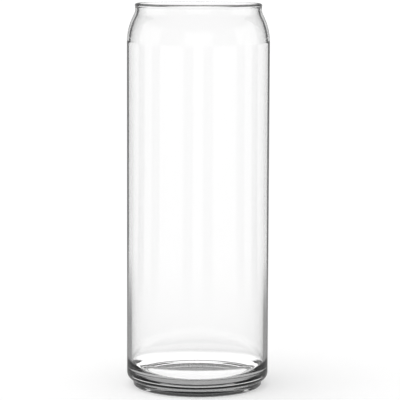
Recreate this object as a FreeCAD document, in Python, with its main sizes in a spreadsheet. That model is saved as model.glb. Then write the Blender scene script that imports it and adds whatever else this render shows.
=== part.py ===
import FreeCAD, Part
import math
import os

import Sketcher

# A can-shaped drinking glass, blown in one piece of clear soda-lime glass.
# It is a straight cylinder with a rounded heel on a small foot ring, a shoulder that curves in
# to the mouth like the top of a drinks can, and a fire-polished lip.
# Millimetres. The origin is the centre of the base on the table, and +Z points up.

# Driving sizes: name, value, what it measures.
SIZES = [
    ("overall_height", 162.0, "table to the crown of the lip"),
    ("body_diameter", 60.0, "outside of the straight wall"),
    ("neck_inset", 3.5, "how far the neck stands in from the straight wall"),
    ("neck_height", 2.4, "crown of the lip to the end of the straight neck"),
    ("neck_curve", 5.0, "outside radius of the hollow curve under the neck"),
    ("shoulder_curve", 25.0, "outside radius of the round shoulder"),
    ("neck_wall", 1.4, "glass thickness in the neck and the shoulder"),
    ("base_wall", 1.9, "glass thickness just above the floor"),
    ("lip_bead", 0.15, "how far the lip stands proud of each face of the neck"),
    ("lip_blend", 2.5, "fillet between the lip and the neck"),
    ("floor_height", 4.4, "table to the inside floor"),
    ("floor_curve", 7.5, "inside radius between the floor and the wall"),
    ("heel_curve", 3.0, "outside radius of the heel"),
    ("foot_inset", 2.7, "how far the foot ring stands in from the straight wall"),
    ("foot_height", 2.6, "table to the step between the foot ring and the heel"),
    ("foot_round", 0.8, "outside radius of the bottom edge of the foot ring"),
    ("foot_width", 2.7, "outer face of the foot ring to the start of the recess"),
    ("step_round", 0.35, "fillet in the step above the foot ring"),
    ("recess_flare", 1.2, "how far the inner flank of the foot ring slopes inwards"),
    ("flank_height", 0.9, "table to the top of that flank"),
    ("recess_round", 1.0, "fillets at the two ends of that flank"),
    ("punt_height", 1.9, "table to the middle of the domed recess"),
]

START, END, CENTRE = range(1, 4)
LEVEL_AXIS = -1
UPRIGHT_AXIS = -2
ORIGIN = (LEVEL_AXIS, START)
CIRCLE_AXIS = FreeCAD.Vector(0, 0, 1)
POSITION_TOLERANCE = 0.001


def write_sizes(document):
    """Puts the driving sizes into the sheet, one row each."""
    table = document.addObject("Spreadsheet::Sheet", "sizes")
    for row, (name, value, meaning) in enumerate(SIZES, start=1):
        table.set(f"A{row}", meaning)
        table.set(f"B{row}", str(value))
        table.setAlias(f"B{row}", name)
    document.recompute()
    return table


class Section:
    """A closed half section in the XZ plane of a body: x is the radius and y is the height."""

    def __init__(self, body, name):
        self.sketch = body.newObject("Sketcher::SketchObject", name)
        planes = [plane for plane in body.Origin.OriginFeatures if plane.Role == "XZ_Plane"]
        self.sketch.AttachmentSupport = (planes[0], [""])
        self.sketch.MapMode = "FlatFace"

    def line(self, start, end):
        first = FreeCAD.Vector(start[0], start[1], 0)
        last = FreeCAD.Vector(end[0], end[1], 0)
        return self.sketch.addGeometry(Part.LineSegment(first, last), False)

    def arc(self, centre, radius, first_angle, last_angle):
        circle = Part.Circle(FreeCAD.Vector(centre[0], centre[1], 0), CIRCLE_AXIS, radius)
        return self.sketch.addGeometry(Part.ArcOfCircle(circle, first_angle, last_angle), False)

    def circle(self, centre, radius):
        circle = Part.Circle(FreeCAD.Vector(centre[0], centre[1], 0), CIRCLE_AXIS, radius)
        return self.sketch.addGeometry(circle, False)

    def level(self, *lines):
        for edge in lines:
            self.sketch.addConstraint(Sketcher.Constraint("Horizontal", edge))

    def upright(self, *lines):
        for edge in lines:
            self.sketch.addConstraint(Sketcher.Constraint("Vertical", edge))

    def join(self, edge, end, other, other_end):
        self.sketch.addConstraint(Sketcher.Constraint("Coincident", edge, end, other, other_end))

    def blend(self, edge, end, other, other_end):
        """Joins two ends so that the curves run smoothly into each other."""
        self.sketch.addConstraint(Sketcher.Constraint("Tangent", edge, end, other, other_end))

    def on_axis(self, edge, end):
        self.sketch.addConstraint(
            Sketcher.Constraint("PointOnObject", edge, end, UPRIGHT_AXIS)
        )

    def bind(self, name, constraint, expression):
        """Adds a measured constraint and ties it to the sheet."""
        index = self.sketch.addConstraint(constraint)
        self.sketch.renameConstraint(index, name)
        self.sketch.setExpression(f"Constraints.{name}", expression)

    def radius(self, name, edge, value, expression):
        self.bind(name, Sketcher.Constraint("Radius", edge, value), expression)

    def across(self, name, edge, end, value, expression):
        """Distance of a point from the axis of the glass."""
        self.bind(name, Sketcher.Constraint("DistanceX", *ORIGIN, edge, end, value), expression)

    def above(self, name, edge, end, value, expression):
        """Height of a point over the table."""
        self.bind(name, Sketcher.Constraint("DistanceY", *ORIGIN, edge, end, value), expression)


def draw_outside(body, size):
    """Everything that the mould forms: foot ring, heel, wall, shoulder and neck."""
    wall = size("body_diameter") / 2
    neck = wall - size("neck_inset")
    neck_end = size("overall_height") - size("neck_height")
    both_curves = size("neck_curve") + size("shoulder_curve")
    turn = math.acos(1 - size("neck_inset") / both_curves)
    shoulder_start = neck_end - both_curves * math.sin(turn)
    foot = wall - size("foot_inset")
    foot_height = size("foot_height")
    foot_round = size("foot_round")
    heel_turn = math.acos(1 - size("foot_inset") / size("heel_curve"))
    heel_top = foot_height + size("heel_curve") * math.sin(heel_turn)
    lip_radius = size("neck_wall") / 2 + size("lip_bead")
    wall_top = size("overall_height") - lip_radius

    section = Section(body, "outside")
    base = section.line((0, 0), (foot - foot_round, 0))
    ring = section.arc((foot - foot_round, foot_round), foot_round, -math.pi / 2, 0)
    ring_side = section.line((foot, foot_round), (foot, foot_height))
    heel = section.arc((wall - size("heel_curve"), heel_top), size("heel_curve"), -heel_turn, 0)
    side = section.line((wall, heel_top), (wall, shoulder_start))
    shoulder = section.arc(
        (wall - size("shoulder_curve"), shoulder_start), size("shoulder_curve"), 0, turn
    )
    hollow = section.arc(
        (neck + size("neck_curve"), neck_end), size("neck_curve"), math.pi, math.pi + turn
    )
    neck_side = section.line((neck, neck_end), (neck, wall_top))
    top = section.line((neck, wall_top), (0, wall_top))
    axis = section.line((0, wall_top), (0, 0))

    section.join(base, START, *ORIGIN)
    section.blend(base, END, ring, START)
    section.blend(ring, END, ring_side, START)
    section.join(ring_side, END, heel, START)
    section.blend(heel, END, side, START)
    section.blend(side, END, shoulder, START)
    section.blend(shoulder, END, hollow, END)
    section.blend(hollow, START, neck_side, START)
    section.join(neck_side, END, top, START)
    section.join(top, END, axis, START)
    section.join(axis, END, *ORIGIN)
    section.level(base, top)
    section.upright(ring_side, side, neck_side, axis)

    section.across(
        "foot_radius", ring_side, END, foot, "sizes.body_diameter / 2 - sizes.foot_inset"
    )
    section.above("foot_height", ring_side, END, foot_height, "sizes.foot_height")
    section.radius("foot_round", ring, foot_round, "sizes.foot_round")
    section.radius("heel_round", heel, size("heel_curve"), "sizes.heel_curve")
    section.across("wall_radius", side, START, wall, "sizes.body_diameter / 2")
    section.radius("shoulder_round", shoulder, size("shoulder_curve"), "sizes.shoulder_curve")
    section.radius("hollow_round", hollow, size("neck_curve"), "sizes.neck_curve")
    section.across(
        "neck_radius", neck_side, END, neck, "sizes.body_diameter / 2 - sizes.neck_inset"
    )
    section.above(
        "neck_end", neck_side, START, neck_end, "sizes.overall_height - sizes.neck_height"
    )
    section.above(
        "wall_top",
        neck_side,
        END,
        wall_top,
        "sizes.overall_height - sizes.neck_wall / 2 - sizes.lip_bead",
    )
    return section.sketch


def draw_inside(body, size):
    """The cavity. Its curves keep an even wall round the shoulder, and the wall thickens evenly
    from there down to the floor."""
    wall = size("body_diameter") / 2
    neck = wall - size("neck_inset")
    neck_end = size("overall_height") - size("neck_height")
    both_curves = size("neck_curve") + size("shoulder_curve")
    turn = math.acos(1 - size("neck_inset") / both_curves)
    shoulder_height = neck_end - both_curves * math.sin(turn)
    shoulder_radius = size("shoulder_curve") - size("neck_wall")
    hollow_radius = size("neck_curve") + size("neck_wall")
    bore = neck - size("neck_wall")
    floor_inner = wall - size("base_wall")
    corner = size("floor_curve")
    corner_height = size("floor_height") + corner
    lean = (size("base_wall") - size("neck_wall")) / (shoulder_height - corner_height)
    upper = (
        wall - size("shoulder_curve") + shoulder_radius * math.cos(lean),
        shoulder_height - shoulder_radius * math.sin(lean),
    )
    lower = (floor_inner, corner_height - corner * math.sin(lean))
    corner_centre = (floor_inner - corner * math.cos(lean), corner_height)
    rim = size("overall_height")

    section = Section(body, "inside")
    floor = section.line((0, size("floor_height")), (corner_centre[0], size("floor_height")))
    corner_arc = section.arc(corner_centre, corner, -math.pi / 2, -lean)
    side = section.line(lower, upper)
    shoulder = section.arc(
        (wall - size("shoulder_curve"), shoulder_height), shoulder_radius, -lean, turn
    )
    hollow = section.arc(
        (neck + size("neck_curve"), neck_end), hollow_radius, math.pi, math.pi + turn
    )
    mouth = section.line((bore, neck_end), (bore, rim))
    top = section.line((bore, rim), (0, rim))
    axis = section.line((0, rim), (0, size("floor_height")))

    section.on_axis(floor, START)
    section.blend(floor, END, corner_arc, START)
    section.blend(corner_arc, END, side, START)
    section.blend(side, END, shoulder, START)
    section.blend(shoulder, END, hollow, END)
    section.blend(hollow, START, mouth, START)
    section.join(mouth, END, top, START)
    section.join(top, END, axis, START)
    section.join(axis, END, floor, START)
    section.level(floor, top)
    section.upright(mouth, axis)

    section.above("floor_height", floor, START, size("floor_height"), "sizes.floor_height")
    section.radius("floor_round", corner_arc, corner, "sizes.floor_curve")
    section.across(
        "base_wall", side, START, floor_inner, "sizes.body_diameter / 2 - sizes.base_wall"
    )
    section.radius(
        "shoulder_round", shoulder, shoulder_radius, "sizes.shoulder_curve - sizes.neck_wall"
    )
    section.across(
        "shoulder_centre",
        shoulder,
        CENTRE,
        wall - size("shoulder_curve"),
        "sizes.body_diameter / 2 - sizes.shoulder_curve",
    )
    section.radius("hollow_round", hollow, hollow_radius, "sizes.neck_curve + sizes.neck_wall")
    section.across(
        "mouth_radius",
        mouth,
        START,
        bore,
        "sizes.body_diameter / 2 - sizes.neck_inset - sizes.neck_wall",
    )
    section.above("neck_end", mouth, START, neck_end, "sizes.overall_height - sizes.neck_height")
    section.above("rim", mouth, END, rim, "sizes.overall_height")
    return section.sketch


def draw_recess(body, size):
    """The domed hollow under the base, inside the foot ring."""
    ring_inner = size("body_diameter") / 2 - size("foot_inset") - size("foot_width")
    dome_edge = ring_inner - size("recess_flare")
    rise = size("punt_height") - size("flank_height")
    dome_radius = (dome_edge**2 + rise**2) / (2 * rise)
    dome_turn = math.asin(dome_edge / dome_radius)

    section = Section(body, "recess")
    base = section.line((0, 0), (ring_inner, 0))
    flank = section.line((ring_inner, 0), (dome_edge, size("flank_height")))
    dome = section.arc(
        (0, size("punt_height") - dome_radius), dome_radius, math.pi / 2 - dome_turn, math.pi / 2
    )
    axis = section.line((0, size("punt_height")), (0, 0))

    section.join(base, START, *ORIGIN)
    section.join(base, END, flank, START)
    section.join(flank, END, dome, START)
    section.join(dome, END, axis, START)
    section.join(axis, END, *ORIGIN)
    section.on_axis(dome, CENTRE)
    section.level(base)
    section.upright(axis)

    section.across(
        "ring_inner",
        base,
        END,
        ring_inner,
        "sizes.body_diameter / 2 - sizes.foot_inset - sizes.foot_width",
    )
    section.across(
        "dome_edge",
        flank,
        END,
        dome_edge,
        "sizes.body_diameter / 2 - sizes.foot_inset - sizes.foot_width - sizes.recess_flare",
    )
    section.above("flank_height", flank, END, size("flank_height"), "sizes.flank_height")
    section.above("punt_height", dome, END, size("punt_height"), "sizes.punt_height")
    return section.sketch


def draw_lip(body, size):
    """The round lip, centred on the wall of the neck."""
    lip_radius = size("neck_wall") / 2 + size("lip_bead")
    middle = size("body_diameter") / 2 - size("neck_inset") - size("neck_wall") / 2
    height = size("overall_height") - lip_radius

    section = Section(body, "lip")
    bead = section.circle((middle, height), lip_radius)
    section.radius("lip_radius", bead, lip_radius, "sizes.neck_wall / 2 + sizes.lip_bead")
    section.across(
        "lip_middle",
        bead,
        CENTRE,
        middle,
        "sizes.body_diameter / 2 - sizes.neck_inset - sizes.neck_wall / 2",
    )
    section.above(
        "lip_height",
        bead,
        CENTRE,
        height,
        "sizes.overall_height - sizes.neck_wall / 2 - sizes.lip_bead",
    )
    return section.sketch


def turn_section(body, kind, name, sketch):
    """Turns a section about the axis of the glass: a Revolution adds glass, a Groove removes it."""
    document = body.Document
    before = body.Shape.Volume if body.Tip else 0.0
    feature = body.newObject(kind, name)
    feature.Profile = sketch
    feature.ReferenceAxis = (sketch, ["V_Axis"])
    feature.Angle = 360.0
    document.recompute()
    change = feature.Shape.Volume - before
    if (kind == "PartDesign::Groove") != (change < 0):
        raise RuntimeError(f"{name} changed the volume by {change:.1f} mm3")
    return feature


def ring_edges(shape, places):
    """Names of the circular edges at the given radii and heights."""
    names = []
    for number, edge in enumerate(shape.Edges, start=1):
        if edge.Degenerated or not isinstance(edge.Curve, Part.Circle):
            continue
        for radius, height in places:
            same_radius = abs(edge.Curve.Radius - radius) < POSITION_TOLERANCE
            same_height = abs(edge.Curve.Center.z - height) < POSITION_TOLERANCE
            if same_radius and same_height:
                names.append(f"Edge{number}")
    return names


def round_edges(body, name, places, size_name):
    """Fillets the circular edges at the given radii and heights."""
    before = body.Tip
    edges = ring_edges(before.Shape, places)
    if len(edges) != len(places):
        raise RuntimeError(f"{name} found {len(edges)} edges for {len(places)} places")
    fillet = body.newObject("PartDesign::Fillet", name)
    fillet.Base = (before, edges)
    fillet.setExpression("Radius", f"sizes.{size_name}")
    body.Document.recompute()
    return fillet


def make_glass(document, size):
    """The whole glass, one solid of revolution."""
    body = document.addObject("PartDesign::Body", "glass")
    body.Label = "glass"
    document.recompute()

    turn_section(body, "PartDesign::Revolution", "blank", draw_outside(body, size))
    turn_section(body, "PartDesign::Groove", "cavity", draw_inside(body, size))
    turn_section(body, "PartDesign::Groove", "base_recess", draw_recess(body, size))
    turn_section(body, "PartDesign::Revolution", "lip_ring", draw_lip(body, size))

    wall = size("body_diameter") / 2
    neck = wall - size("neck_inset")
    half_wall = size("neck_wall") / 2
    lip_radius = half_wall + size("lip_bead")
    lip_drop = lip_radius + math.sqrt(lip_radius**2 - half_wall**2)
    lip_edge = size("overall_height") - lip_drop
    foot = wall - size("foot_inset")
    ring_inner = foot - size("foot_width")

    outer_and_inner = [(neck, lip_edge), (neck - size("neck_wall"), lip_edge)]
    round_edges(body, "lip_blend", outer_and_inner, "lip_blend")
    round_edges(body, "step_round", [(foot, size("foot_height"))], "step_round")
    flank_ends = [(ring_inner, 0.0), (ring_inner - size("recess_flare"), size("flank_height"))]
    round_edges(body, "recess_round", flank_ends, "recess_round")

    body.Placement = FreeCAD.Placement(FreeCAD.Vector(0, 0, 0), FreeCAD.Rotation())
    return body


def check(document, parts):
    """Stops if any object failed to build or any part isn't a sound solid."""
    for item in document.Objects:
        if "Invalid" in item.State or "Error" in item.State:
            raise RuntimeError(f"{item.Name}: {item.State}")
    for item in document.findObjects("Sketcher::SketchObject"):
        if item.solve() != 0:
            raise RuntimeError(f"sketch {item.Name} doesn't solve")
    for part in parts:
        if part.Shape.isNull() or not part.Shape.isValid() or len(part.Shape.Solids) != 1:
            raise RuntimeError(f"{part.Label} isn't one sound solid")


def main():
    document = FreeCAD.newDocument("can_shaped_glass")
    table = write_sizes(document)

    def size(name):
        return float(table.get(name))

    glass = make_glass(document, size)
    document.recompute()
    check(document, [glass])

    os.makedirs("parts", exist_ok=True)
    for part in [glass]:
        part.Shape.exportStep(f"parts/{part.Label}.step")
        box = part.Shape.optimalBoundingBox(True, False)
        print(
            f"{part.Label}: {box.XLength:.2f} x {box.YLength:.2f} x {box.ZLength:.2f} mm,"
            f" {part.Shape.Volume / 1000:.2f} cm3, {len(part.Shape.Faces)} faces"
        )


main()
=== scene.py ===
# %% [markdown]
# # A tall drinking glass in the shape of a can
#
# This lesson dresses one empty glass: a straight wall, a soft shoulder, a narrower neck, a small
# round bead for a lip, and a thick base that stands on a moulded ring. The solid model gives the
# place and the outer size of the glass. The lesson rebuilds its wall as one smooth turned surface,
# gives it a glass finish, and sets it on a pale floor in soft studio light.

import math

import bpy
from mathutils import Matrix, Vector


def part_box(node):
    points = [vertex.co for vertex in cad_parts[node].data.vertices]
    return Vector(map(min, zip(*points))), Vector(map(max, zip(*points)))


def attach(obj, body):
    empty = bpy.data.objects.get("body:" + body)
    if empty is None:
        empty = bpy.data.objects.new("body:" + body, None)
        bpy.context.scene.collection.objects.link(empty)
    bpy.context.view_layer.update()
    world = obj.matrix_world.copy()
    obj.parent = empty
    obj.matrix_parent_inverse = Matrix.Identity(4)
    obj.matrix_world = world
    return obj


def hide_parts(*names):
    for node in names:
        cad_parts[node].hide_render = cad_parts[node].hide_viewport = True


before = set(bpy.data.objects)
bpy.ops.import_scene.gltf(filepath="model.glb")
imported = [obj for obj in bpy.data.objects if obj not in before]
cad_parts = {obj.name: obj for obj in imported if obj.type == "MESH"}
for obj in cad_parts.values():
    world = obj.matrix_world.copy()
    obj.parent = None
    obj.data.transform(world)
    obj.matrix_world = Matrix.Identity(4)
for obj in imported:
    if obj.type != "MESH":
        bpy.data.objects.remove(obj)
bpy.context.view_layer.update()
low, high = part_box("glass")
print("box of the solid glass in metres:", tuple(low), tuple(high))

# %% [markdown]
# ## Sizes
#
# A glass is made in a mould, so a drawing of half its section says all there is to say of it. The
# height and the greatest diameter are read from the solid model, so that the two can't drift
# apart. The other sizes are the mould maker's: insets, wall thicknesses and the radii of curves.

# %% Named sizes, in metres
MM = 0.001

OVERALL_HEIGHT = high.z - low.z
BODY_RADIUS = min(high.x - low.x, high.y - low.y) / 2

NECK_INSET = 3.5 * MM
NECK_HEIGHT = 2.4 * MM
NECK_CURVE = 5.0 * MM
SHOULDER_CURVE = 25.0 * MM
NECK_WALL = 1.4 * MM
BASE_WALL = 1.9 * MM

LIP_BEAD = 0.15 * MM
LIP_BLEND = 2.5 * MM

FLOOR_HEIGHT = 4.4 * MM
FLOOR_CURVE = 7.5 * MM

HEEL_CURVE = 3.0 * MM
FOOT_INSET = 2.7 * MM
FOOT_HEIGHT = 2.6 * MM
FOOT_ROUND = 0.8 * MM
FOOT_WIDTH = 2.7 * MM
STEP_ROUND = 0.35 * MM

RECESS_FLARE = 1.2 * MM
FLANK_HEIGHT = 0.9 * MM
RECESS_ROUND = 1.0 * MM
PUNT_HEIGHT = 1.9 * MM

print("height and radius in mm:", OVERALL_HEIGHT / MM, BODY_RADIUS / MM)

# %% [markdown]
# ## Lines and arcs
#
# The section is drawn as a chain of points in a half plane: how far a point is from the axis, and
# how high it is. It could be drawn by hand as a Bezier curve, but straight runs and true arcs are
# what the mould is cut to, and they meet without a kink. Where two runs meet at a sharp corner,
# a short curve that starts and ends along them takes the corner off, as fire polishing does.

# %% Helpers for the section
CORNER_STEPS = 6


def arc(across, up, radius, start, end, steps):
    """Points on an arc round (across, up), from one angle to another."""
    turn = (end - start) / steps
    angles = [start + turn * i for i in range(steps + 1)]
    return [(across + radius * math.cos(a), up + radius * math.sin(a)) for a in angles]


def run(start, end, steps):
    """Points on a straight run. They are closer together near its ends."""
    shares = [(1 - math.cos(math.pi * i / steps)) / 2 for i in range(steps + 1)]
    return [
        (start[0] + (end[0] - start[0]) * s, start[1] + (end[1] - start[1]) * s)
        for s in shares
    ]


def trimmed(points, reach):
    """The run without its last stretch, and the point where it was cut."""
    points = list(points)
    left = reach
    while len(points) > 1:
        step = math.dist(points[-1], points[-2])
        if step > left:
            break
        left -= step
        points.pop()
    share = left / math.dist(points[-1], points[-2])
    cut = tuple(a + (b - a) * share for a, b in zip(points[-1], points[-2]))
    return points[:-1] + [cut]


def joined(first, second, reach=0.0):
    """Two runs as one. A reach above zero rounds the corner between them."""
    if reach == 0.0:
        return first + second[1:]
    corner = first[-1]
    before = trimmed(first, reach)
    after = trimmed(second[::-1], reach)[::-1]
    curve = []
    for i in range(1, CORNER_STEPS):
        t = i / CORNER_STEPS
        weights = ((1 - t) ** 2, 2 * t * (1 - t), t**2)
        ends = (before[-1], corner, after[0])
        curve.append(tuple(sum(w * p[k] for w, p in zip(weights, ends)) for k in (0, 1)))
    return before + curve + after


# %% [markdown]
# ## The outside of the section
#
# From the middle of the underside outwards: a shallow dome keeps the middle off the table, a short
# flank drops to the ring that the glass stands on, a step shows where the ring ends, and the heel
# curves up to the straight wall. At the top a long convex shoulder turns into a short hollow neck.
# The shoulder and the neck are two arcs that share a tangent, so their angle follows from the inset.
# Long or strongly curved runs get more steps than short flat ones.

# %% Outside runs
WALL_STEPS = 30
CURVE_STEPS = 18
SHALLOW_STEPS = 12
SMALL_STEPS = 8
FLANK_STEPS = 6
BEARING_STEPS = 4
SIDE_STEPS = 3

foot_radius = BODY_RADIUS - FOOT_INSET
bearing_outer = foot_radius - FOOT_ROUND
bearing_inner = foot_radius - FOOT_WIDTH
dome_edge = bearing_inner - RECESS_FLARE
dome_rise = PUNT_HEIGHT - FLANK_HEIGHT
dome_radius = (dome_edge**2 + dome_rise**2) / (2 * dome_rise)
dome_angle = math.asin(dome_edge / dome_radius)

dome_centre = PUNT_HEIGHT - dome_radius
straight_up = math.pi / 2

underside = arc(
    0.0, dome_centre, dome_radius, straight_up, straight_up - dome_angle, SHALLOW_STEPS
)
flank = run((dome_edge, FLANK_HEIGHT), (bearing_inner, 0.0), FLANK_STEPS)
bearing = run((bearing_inner, 0.0), (bearing_outer, 0.0), BEARING_STEPS)
foot = arc(bearing_outer, FOOT_ROUND, FOOT_ROUND, -straight_up, 0.0, SMALL_STEPS)
foot_side = run((foot_radius, FOOT_ROUND), (foot_radius, FOOT_HEIGHT), SIDE_STEPS)

heel_across = BODY_RADIUS - HEEL_CURVE
heel_up = FOOT_HEIGHT + math.sqrt(HEEL_CURVE**2 - (foot_radius - heel_across) ** 2)
heel_start = -math.acos((foot_radius - heel_across) / HEEL_CURVE)
heel = arc(heel_across, heel_up, HEEL_CURVE, heel_start, 0.0, CURVE_STEPS)

neck_up = OVERALL_HEIGHT - NECK_HEIGHT
neck_radius = BODY_RADIUS - NECK_INSET
shoulder_angle = math.acos(1 - NECK_INSET / (SHOULDER_CURVE + NECK_CURVE))
shoulder_across = BODY_RADIUS - SHOULDER_CURVE
shoulder_up = neck_up - (SHOULDER_CURVE + NECK_CURVE) * math.sin(shoulder_angle)
neck_across = neck_radius + NECK_CURVE

wall = run((BODY_RADIUS, heel_up), (BODY_RADIUS, shoulder_up), WALL_STEPS)
shoulder = arc(
    shoulder_across, shoulder_up, SHOULDER_CURVE, 0.0, shoulder_angle, CURVE_STEPS
)
neck = arc(
    neck_across, neck_up, NECK_CURVE, math.pi + shoulder_angle, math.pi, SHALLOW_STEPS
)
print("angle of the shoulder in degrees:", round(math.degrees(shoulder_angle), 2))

# %% [markdown]
# ## The lip and the inside
#
# The lip is a round bead a little thicker than the neck, which is what a rim looks like after its
# edge has been melted smooth. The inside follows the outside at a nearly even distance: thin at the
# neck and slightly thicker toward the base, because the hot glass is blown out into its mould and
# the most of it stays low. It ends in a rounded corner and a flat floor over a thick base.

# %% Inside runs
BEAD_STEPS = 28
LAND_STEPS = 2

bead_radius = NECK_WALL / 2 + LIP_BEAD
bead_across = neck_radius - NECK_WALL / 2
bead_up = OVERALL_HEIGHT - bead_radius
inner_neck_radius = neck_radius - NECK_WALL
blend_across = NECK_WALL / 2 + LIP_BLEND
blend_drop = math.sqrt((bead_radius + LIP_BLEND) ** 2 - blend_across**2)
blend_up = bead_up - blend_drop
blend_angle = math.atan2(blend_drop, blend_across)

outer_centre = bead_across + blend_across
inner_centre = bead_across - blend_across
bead_end = math.pi + blend_angle

neck_land = run((neck_radius, neck_up), (neck_radius, blend_up), LAND_STEPS)
outer_blend = arc(
    outer_centre, blend_up, LIP_BLEND, math.pi, math.pi - blend_angle, SMALL_STEPS
)
bead = arc(bead_across, bead_up, bead_radius, -blend_angle, bead_end, BEAD_STEPS)
inner_blend = arc(inner_centre, blend_up, LIP_BLEND, blend_angle, 0.0, SMALL_STEPS)
inner_land = run((inner_neck_radius, blend_up), (inner_neck_radius, neck_up), LAND_STEPS)

inner_neck_curve = NECK_CURVE + NECK_WALL
inner_neck = arc(
    neck_across, neck_up, inner_neck_curve, math.pi, math.pi + shoulder_angle, SHALLOW_STEPS
)
inner_floor_radius = BODY_RADIUS - BASE_WALL
corner_up = FLOOR_HEIGHT + FLOOR_CURVE
inner_shoulder_curve = SHOULDER_CURVE - NECK_WALL
lean = math.atan2(BASE_WALL - NECK_WALL, shoulder_up - corner_up)
inner_shoulder = arc(
    shoulder_across, shoulder_up, inner_shoulder_curve, shoulder_angle, -lean, CURVE_STEPS
)
corner_across = inner_floor_radius - FLOOR_CURVE
floor_corner = arc(
    corner_across, corner_up, FLOOR_CURVE, -lean, -straight_up, CURVE_STEPS
)
inner_wall = run(inner_shoulder[-1], floor_corner[0], WALL_STEPS)
inside_floor = run(floor_corner[-1], (0.0, FLOOR_HEIGHT), SHALLOW_STEPS)
print("lean of the inner wall in degrees:", round(math.degrees(lean), 2))

# %% The whole section
RECESS_REACH = RECESS_ROUND * 0.4
STEP_REACH = STEP_ROUND * 0.5

section = joined(underside, flank, RECESS_REACH)
section = joined(section, bearing, RECESS_REACH)
section = joined(section, foot)
section = joined(section, foot_side)
section = joined(section, heel, STEP_REACH)
section = joined(section, wall)
section = joined(section, shoulder)
section = joined(section, neck)
section = joined(section, neck_land)
section = joined(section, outer_blend)
section = joined(section, bead)
outside_count = len(section)
section = joined(section, inner_blend)
section = joined(section, inner_land)
section = joined(section, inner_neck)
section = joined(section, inner_shoulder)
section = joined(section, inner_wall)
section = joined(section, floor_corner)
section = joined(section, inside_floor)
print("points on the section:", len(section), "of which outside:", outside_count)

# %% [markdown]
# ## Wiring nodes in Python
#
# Trees of nodes are easier to read as sums than as lists of links. A small class holds an output
# socket and lets Python's own operators add the Math nodes, also where a plain number comes first.
# Every other node is made by one method: its settings first, then what goes into its sockets.

# %% Wires and benches
class Wire:
    """An output socket that takes part in sums."""

    def __init__(self, bench, socket):
        self.bench = bench
        self.socket = socket

    def __add__(self, other):
        return self.bench.maths("ADD", self, other)

    def __radd__(self, other):
        return self.bench.maths("ADD", other, self)

    def __sub__(self, other):
        return self.bench.maths("SUBTRACT", self, other)

    def __rsub__(self, other):
        return self.bench.maths("SUBTRACT", other, self)

    def __mul__(self, other):
        return self.bench.maths("MULTIPLY", self, other)

    def __rmul__(self, other):
        return self.bench.maths("MULTIPLY", other, self)

    def __truediv__(self, other):
        return self.bench.maths("DIVIDE", self, other)

    def __gt__(self, other):
        return self.bench.maths("GREATER_THAN", self, other)

    def __lt__(self, other):
        return self.bench.maths("LESS_THAN", self, other)

    def out(self, name):
        """Another output of the same node."""
        return Wire(self.bench, self.socket.node.outputs[name])


class Bench:
    """A tree of nodes, and the one method that adds to it."""

    def __init__(self, tree):
        self.tree = tree

    def add(self, kind, settings=None, values=None):
        """A new node, by its first output: settings first, then what goes into its sockets."""
        node = self.tree.nodes.new(kind)
        for name, value in (settings or {}).items():
            setattr(node, name, value)
        for name, value in (values or {}).items():
            if isinstance(value, Wire):
                self.tree.links.new(value.socket, node.inputs[name])
            else:
                node.inputs[name].default_value = value
        shown = [s for s in node.outputs if s.enabled]
        return Wire(self, shown[0]) if shown else node

    def maths(self, operation, *values):
        """One Math node on wires or plain numbers."""
        return self.add("ShaderNodeMath", {"operation": operation}, dict(enumerate(values)))


# %% [markdown]
# ## Turning the section
#
# A glass is round, so its surface is the section turned once about the axis. Blender's Screw
# modifier could do it. Geometry Nodes say the rule in the open and take a change of size without any
# handwork: a grid has one row for each point of the section and one column for each step of the turn,
# every grid point reads its place from the section, and points that fall together are merged, which
# closes the seam and both ends on the axis. The inner face gets a waviness of up to two hundredths of
# a millimetre, because hot glass that no mould wall touches never sets perfectly true. It fades out
# toward the floor and the neck.

# %% The section as a line of vertices
RIPPLE_FADE = 20 * MM

line_mesh = bpy.data.meshes.new("section")
line_mesh.from_pydata(
    [(across, 0.0, up) for across, up in section],
    [(i, i + 1) for i in range(len(section) - 1)],
    [],
)
ripple_share = line_mesh.attributes.new("ripple_share", "FLOAT", "POINT")
for i, (across, up) in enumerate(section):
    from_floor = (up - corner_up) / RIPPLE_FADE
    from_neck = (neck_up - up) / RIPPLE_FADE
    share = min(from_floor, from_neck, 1.0) if i >= outside_count else 0.0
    ripple_share.data[i].value = max(share, 0.0)
glass = bpy.data.objects.new("glass_wall", line_mesh)
bpy.context.scene.collection.objects.link(glass)
print("vertices on the line:", len(line_mesh.vertices))

# %% The lathe
lathe = bpy.data.node_groups.new("glass lathe", "GeometryNodeTree")
lathe_inputs = [
    ("Section", "NodeSocketGeometry", None),
    ("Steps of the turn", "NodeSocketInt", 240),
    ("Merge distance", "NodeSocketFloat", 0.001 * MM),
    ("Ripple depth", "NodeSocketFloat", 0.04 * MM),
    ("Ripples per metre", "NodeSocketFloat", 28.0),
    ("Ripple seed", "NodeSocketFloat", 3.0),
    ("Finish", "NodeSocketMaterial", None),
]
for name, kind, start in lathe_inputs:
    socket = lathe.interface.new_socket(name=name, in_out="INPUT", socket_type=kind)
    if start is not None:
        socket.default_value = start
lathe.interface.new_socket(name="Glass", in_out="OUTPUT", socket_type="NodeSocketGeometry")

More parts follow.
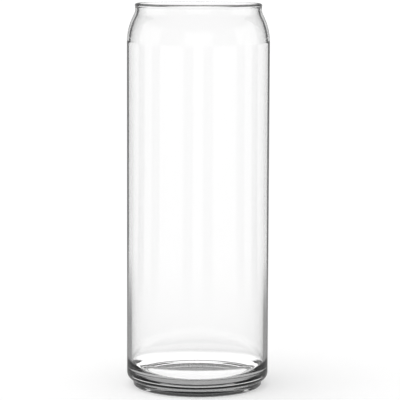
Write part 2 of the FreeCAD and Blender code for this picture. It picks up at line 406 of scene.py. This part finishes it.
bench = Bench(lathe)
given = bench.add("NodeGroupInput")
rows = bench.add(
    "GeometryNodeAttributeDomainSize", {"component": "MESH"}, {"Geometry": given.out("Section")}
)
steps = given.out("Steps of the turn")
grid = bench.add(
    "GeometryNodeMeshGrid",
    {},
    {"Vertices X": steps + 1, "Vertices Y": rows},
)
index = bench.add("GeometryNodeInputIndex")
row = bench.maths("FLOORED_MODULO", index, rows)
column = bench.maths("FLOOR", index / rows)
here = bench.add(
    "GeometryNodeSampleIndex",
    {"data_type": "FLOAT_VECTOR", "domain": "POINT"},
    {
        "Geometry": given.out("Section"),
        "Value": bench.add("GeometryNodeInputPosition"),
        "Index": row,
    },
)
wavy = bench.add(
    "GeometryNodeSampleIndex",
    {"data_type": "FLOAT", "domain": "POINT"},
    {
        "Geometry": given.out("Section"),
        "Value": bench.add(
            "GeometryNodeInputNamedAttribute", {"data_type": "FLOAT"}, {"Name": "ripple_share"}
        ),
        "Index": row,
    },
)
place = bench.add("ShaderNodeSeparateXYZ", {}, {0: here})
across = place.out("X")
height = place.out("Z")
angle = column * math.tau / steps
cosine = bench.maths("COSINE", angle)
sine = bench.maths("SINE", angle)
smooth_place = bench.add(
    "ShaderNodeCombineXYZ", {}, {0: across * cosine, 1: across * sine, 2: height}
)
noise = bench.add(
    "ShaderNodeTexNoise",
    {"noise_dimensions": "4D"},
    {
        "Vector": smooth_place,
        "W": given.out("Ripple seed"),
        "Scale": given.out("Ripples per metre"),
        "Detail": 1.0,
    },
)
ripple = (noise - 0.5) * given.out("Ripple depth") * wavy
radius = across + ripple
turned = bench.add(
    "GeometryNodeSetPosition",
    {},
    {
        "Geometry": grid,
        "Position": bench.add(
            "ShaderNodeCombineXYZ", {}, {0: radius * cosine, 1: radius * sine, 2: height}
        ),
    },
)
merged = bench.add(
    "GeometryNodeMergeByDistance",
    {},
    {"Geometry": turned, "Distance": given.out("Merge distance")},
)
smooth = bench.add("GeometryNodeSetShadeSmooth", {}, {"Geometry": merged})
real = bench.add("GeometryNodeRealizeInstances", {}, {"Geometry": smooth})
finished = bench.add(
    "GeometryNodeSetMaterial", {}, {"Geometry": real, "Material": given.out("Finish")}
)
bench.add("NodeGroupOutput", {}, {"Glass": finished})
print("nodes in the lathe:", len(lathe.nodes))

# %% [markdown]
# ## The glass itself
#
# The glass is clear soda-lime glass, bright and without colour. Its look is nearly all shape: what is
# seen is light that the curved walls bend and turn back. The Principled shader with full transmission
# gives that from its index of refraction, and a weak absorption in the volume darkens long paths, as
# through the base, and leaves the thin wall clear. What makes it more than a perfect lens is slight: a
# very faint unevenness of the surface, a trace of haze, and the fine scuffs that the ring under the
# base gets from tables. On the real glass the melted edge of the lip gathers the light of the whole
# room, and the picture shows it as one dark line. A plain white room doesn't give that line, so a grey
# tint stands in for it, only on the crown of the lip and where it is looked at along its surface.

# %% Glass finish
GLASS_IOR = 1.52
HAZE = 0.004
SCUFF = 0.18
UNEVEN_DEPTH = 0.006 * MM
ABSORBED_PER_METRE = 9.0
CROWN_DEPTH = 0.85 * MM
CROWN_GREY = 0.06
GRAZED_GAIN = 8.0
GRAZED_START = 0.4
RING_DEPTH = 0.25 * MM
UNEVEN_SCALE = 45.0
HAZE_SCALE = 160.0
SCRATCH_SCALE = 2600.0
FIRST_COLOUR = 6
SECOND_COLOUR = 7


def grey(level):
    """A colour without hue."""
    return (level, level, level, 1.0)


BLACK = grey(0.0)
WHITE = grey(1.0)

finish = bpy.data.materials.new("clear_glass")
finish.use_nodes = True
finish.node_tree.nodes.clear()
bench = Bench(finish.node_tree)
where = bench.add("ShaderNodeTexCoord").out("Object")
position = bench.add("ShaderNodeSeparateXYZ", {}, {0: where})
x = position.out("X")
y = position.out("Y")
height = position.out("Z")
slow = bench.add("ShaderNodeTexNoise", {}, {"Vector": where, "Scale": UNEVEN_SCALE, "Detail": 1.0})
haze = bench.add(
    "ShaderNodeTexNoise", {}, {"Vector": where, "Scale": HAZE_SCALE, "Detail": 4.0}
)
scratches = bench.add(
    "ShaderNodeTexNoise", {}, {"Vector": where, "Scale": SCRATCH_SCALE, "Detail": 3.0}
)
on_the_ring = height < RING_DEPTH
on_the_crown = height > OVERALL_HEIGHT - CROWN_DEPTH
outer_half = x * x + y * y > bead_across * bead_across
from_outside = 1 - bench.add("ShaderNodeNewGeometry").out("Backfacing")
facing = bench.add("ShaderNodeLayerWeight", {}, {"Blend": 0.5}).out("Facing")
grazed = bench.maths("MAXIMUM", facing * GRAZED_GAIN - GRAZED_START, 0.0)
grazed = bench.maths("MINIMUM", grazed, 1.0)
shade = bench.add(
    "ShaderNodeMix",
    {"data_type": "RGBA"},
    {
        0: on_the_crown * outer_half * from_outside * grazed,
        FIRST_COLOUR: WHITE,
        SECOND_COLOUR: grey(CROWN_GREY),
    },
)
roughness = haze * HAZE + on_the_ring * scratches * SCUFF
bump = bench.add(
    "ShaderNodeBump", {}, {"Strength": 1.0, "Distance": UNEVEN_DEPTH, "Height": slow}
)
surface = bench.add(
    "ShaderNodeBsdfPrincipled",
    {},
    {
        "Base Color": shade,
        "Roughness": roughness,
        "IOR": GLASS_IOR,
        "Transmission Weight": 1.0,
        "Normal": bump,
    },
)
volume = bench.add(
    "ShaderNodeVolumeAbsorption", {}, {"Color": BLACK, "Density": ABSORBED_PER_METRE}
)
bench.add("ShaderNodeOutputMaterial", {}, {"Surface": surface, "Volume": volume})
print("nodes in the glass finish:", len(finish.node_tree.nodes))

# %% Turn the section, and keep the result as a plain mesh
CUBIC_CENTIMETRE = 1e-6

turning = glass.modifiers.new("turning", "NODES")
turning.node_group = lathe
identifier = {s.name: s.identifier for s in lathe.interface.items_tree if s.in_out == "INPUT"}
turning[identifier["Finish"]] = finish
bpy.context.view_layer.update()
depsgraph = bpy.context.evaluated_depsgraph_get()
glass_mesh = bpy.data.meshes.new_from_object(glass.evaluated_get(depsgraph))
glass.modifiers.clear()
glass.data = glass_mesh
glass_mesh.name = "glass_wall"
glass_mesh.calc_loop_triangles()
six_volumes = 0.0
for triangle in glass_mesh.loop_triangles:
    a, b, c = (glass_mesh.vertices[i].co for i in triangle.vertices)
    six_volumes += a.dot(b.cross(c))
print("triangles:", len(glass_mesh.loop_triangles))
print("glass in cm3:", round(six_volumes / 6 / CUBIC_CENTIMETRE, 2))

# %% Its place in the frame
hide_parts("glass")
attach(glass, "root")
print("the turned glass replaces the solid glass and rides on root")

# %% [markdown]
# ## Floor
#
# The glass stands on a plain white sweep that fills the picture. The floor is a real diffuse surface,
# so that it takes the soft shadow of the glass. What the camera sees directly or through the glass has
# a little added light, which brings the lit floor to white, and the spot under the foot has more of it,
# as if the sweep were lit from below.
#
# Clear glass on white shows only where its edges pick up something darker. A photographer stands
# black cards beside the glass, just out of the picture. Here the floor and the room play the cards:
# to light that the glass has turned back inside its wall they are dark in the slanting directions,
# and plain grey close to the foot. Near the horizon, which only the neck and the shoulder pick up,
# the dark part lies further round, and the dark line moves in from the outline. They could be real
# boards, but boards would also cast shadows and hide in only one view. This rule works from all sides.
# Turns and crossings are whole numbers, so each limit on them lies halfway between two.

# %% Floor
FLOOR_REACH = 30.0
FLOOR_WHITE = 0.8
FLOOR_LIFT = 0.24
FLOOR_GAP = 0.05 * MM
UNDER_START = 50.0 * MM
UNDER_FULL = 34.0 * MM
UNDER_LIFT = 0.8
CARD_GREY = 0.04
CARD_SIDES = (0.22, 0.34, 0.70, 0.80)
CARD_SHIFT = 0.45
FAR_START = 2.4
FAR_FULL = 4.7
ABOVE_HORIZON = 0.0005
CARD_NEAR = 0.15
CARD_FAR = 0.40
NEAR_SHARE = 0.68
OUTER_SHARE = 0.7
OFTEN_SHARE = 0.5
TINY = 1e-9


def ramp(bench, value, start, end):
    """0 below start, 1 above end and a soft step between; turned round if end is the lower."""
    return bench.add(
        "ShaderNodeMapRange",
        {"interpolation_type": "SMOOTHSTEP"},
        {"Value": value, "From Min": start, "From Max": end},
    )


def cards(bench, place, light_path):
    """How dark a place is to light that the glass has turned back: 0 not at all, 1 fully."""
    parts = bench.add("ShaderNodeSeparateXYZ", {}, {0: place})
    x = parts.out("X")
    y = parts.out("Y")
    up = parts.out("Z")
    spread = x * x + y * y + TINY
    far_floor = ramp(bench, spread, FAR_START**2, FAR_FULL**2)
    on_the_neck = bench.maths("MAXIMUM", up > ABOVE_HORIZON, far_floor)
    slant = bench.maths("ABSOLUTE", x * y * 2.0) / spread - on_the_neck * CARD_SHIFT
    start, full, still, past = CARD_SIDES
    beside = ramp(bench, slant, start, full) * (1 - ramp(bench, slant, still, past))
    away = ramp(bench, bench.maths("SQRT", spread + up), CARD_NEAR, CARD_FAR)
    beside = beside * away + (1 - away) * NEAR_SHARE
    turns = light_path.out("Glossy Depth")
    crossings = light_path.out("Transmission Depth")
    outer_face = (crossings < 0.5) * OUTER_SHARE
    inside_wall = (crossings > 0.5) * (crossings < 3.5) * beside
    often = (turns > 1.5) * OFTEN_SHARE
    dark = bench.maths("MAXIMUM", bench.maths("MAXIMUM", outer_face, inside_wall), often)
    return (turns > 0.5) * (light_path.out("Diffuse Depth") < 0.5) * dark


floor_mesh = bpy.data.meshes.new("floor")
floor_corners = [
    (x * FLOOR_REACH, y * FLOOR_REACH, low.z - FLOOR_GAP)
    for x, y in ((-1, -1), (1, -1), (1, 1), (-1, 1))
]
floor_mesh.from_pydata(floor_corners, [], [(0, 1, 2, 3)])
floor = bpy.data.objects.new("floor", floor_mesh)
bpy.context.scene.collection.objects.link(floor)

paint = bpy.data.materials.new("white_sweep")
paint.use_nodes = True
paint.node_tree.nodes.clear()
bench = Bench(paint.node_tree)
light_path = bench.add("ShaderNodeLightPath")
seen = light_path.out("Is Camera Ray") + light_path.out("Is Transmission Ray")
seen = seen + light_path.out("Is Glossy Ray") > 0.5
spot = bench.add("ShaderNodeTexCoord").out("Object")
dark = cards(bench, spot, light_path)
beyond = bench.add("ShaderNodeVectorMath", {"operation": "LENGTH"}, {0: spot}).out("Value")
under = ramp(bench, beyond, UNDER_START, UNDER_FULL) * (1 - light_path.out("Is Camera Ray"))
diffuse = bench.add("ShaderNodeBsdfDiffuse", {}, {"Color": grey(FLOOR_WHITE)})
added = seen * (under * UNDER_LIFT + FLOOR_LIFT)
lift = bench.add("ShaderNodeEmission", {}, {"Color": WHITE, "Strength": added})
bright = bench.add("ShaderNodeAddShader", {}, {0: diffuse, 1: lift})
card = bench.add("ShaderNodeEmission", {}, {"Color": WHITE, "Strength": CARD_GREY})
sweep = bench.add("ShaderNodeMixShader", {}, {0: dark, 1: bright, 2: card})
bench.add("ShaderNodeOutputMaterial", {}, {"Surface": sweep})
floor_mesh.materials.append(paint)
print("nodes in the paint of the sweep:", len(paint.node_tree.nodes))

# %% [markdown]
# ## Light
#
# A big soft lamp above and to the left and the even light of a white room bring the white floor to
# its own colour and no further. The room is white to the camera and along straight views through the
# glass. To light that the glass has turned back it has the same dark sides as the floor, and it is
# dark overhead: that is what draws the dark line along the foot.

# %% Room and lamp
ROOM_LEVEL = 0.80
LAMP_LEVEL = 0.25
LAMP_SPREAD = math.radians(80)
LAMP_PLACE = (-0.45, -0.25, 1.15)
TOP_START = 0.3
TOP_FULL = 0.5

world = bpy.data.worlds.new("room")
world.use_nodes = True
world.node_tree.nodes.clear()
bpy.context.scene.world = world
bench = Bench(world.node_tree)
light_path = bench.add("ShaderNodeLightPath")
direction = bench.add("ShaderNodeTexCoord").out("Generated")
dark = cards(bench, direction, light_path)
up = bench.add("ShaderNodeSeparateXYZ", {}, {0: direction}).out("Z")
overhead = ramp(bench, up, TOP_START, TOP_FULL) * (light_path.out("Glossy Depth") > 0.5)
dark = bench.maths("MAXIMUM", overhead, dark)
glass_view = (1 - dark) + dark * CARD_GREY
camera_ray = light_path.out("Is Camera Ray")
lighting = light_path.out("Diffuse Depth") > 0.5
through = (1 - camera_ray) * (1 - lighting)
level = camera_ray + through * glass_view + lighting * ROOM_LEVEL
room = bench.add("ShaderNodeBackground", {}, {"Color": WHITE, "Strength": level})
bench.add("ShaderNodeOutputWorld", {}, {"Surface": room})

lamp_data = bpy.data.lights.new("soft box", "SUN")
lamp_data.angle = LAMP_SPREAD
lamp_data.energy = LAMP_LEVEL * math.pi
lamp = bpy.data.objects.new("soft box", lamp_data)
bpy.context.scene.collection.objects.link(lamp)
lamp.location = LAMP_PLACE
lamp.rotation_mode = "QUATERNION"
lamp.rotation_quaternion = lamp.location.to_track_quat("Z", "Y")
lamp.visible_glossy = False
lamp.visible_transmission = False
print("nodes in the room:", len(world.node_tree.nodes), "lamp at:", LAMP_PLACE)

# %% [markdown]
# ## Camera
#
# The picture is taken from a little above the rim with a long lens: the mouth shows as a thin oval
# and the base as a deeper one. The camera's height and its lens are worked out from those ovals and
# from the outline, for a picture 400 points wide. They leave the distance fairly open, so it was
# chosen within the range that fits.

# %% Camera
PICTURE = 400
CAMERA_DISTANCE = 0.870
CAMERA_HEIGHT = 0.1887
CAMERA_FOCAL = 2073.0
CAMERA_PITCH = 0.1253
AXIS_COLUMN = 197.87
CAMERA_YAW = (PICTURE / 2 - AXIS_COLUMN) / CAMERA_FOCAL
CAMERA_ROLL = 0.0035
SENSOR = 36.0

camera_data = bpy.data.cameras.new("camera")
camera_data.sensor_width = SENSOR
camera_data.lens = SENSOR * CAMERA_FOCAL / PICTURE
camera_data.clip_start = 0.01
camera_data.clip_end = 200.0
camera = bpy.data.objects.new("camera", camera_data)
bpy.context.scene.collection.objects.link(camera)
camera.location = (0.0, -CAMERA_DISTANCE, CAMERA_HEIGHT)
aim = Matrix.Rotation(-CAMERA_YAW, 3, "Z")
aim = aim @ Matrix.Rotation(math.pi / 2 - CAMERA_PITCH, 3, "X")
aim = aim @ Matrix.Rotation(CAMERA_ROLL, 3, "Z")
camera.rotation_mode = "QUATERNION"
camera.rotation_quaternion = aim.to_quaternion()
bpy.context.scene.camera = camera
print("lens in mm:", round(camera_data.lens, 1), "distance in metres:", CAMERA_DISTANCE)

# %% Colour
bpy.context.scene.view_settings.view_transform = "Standard"
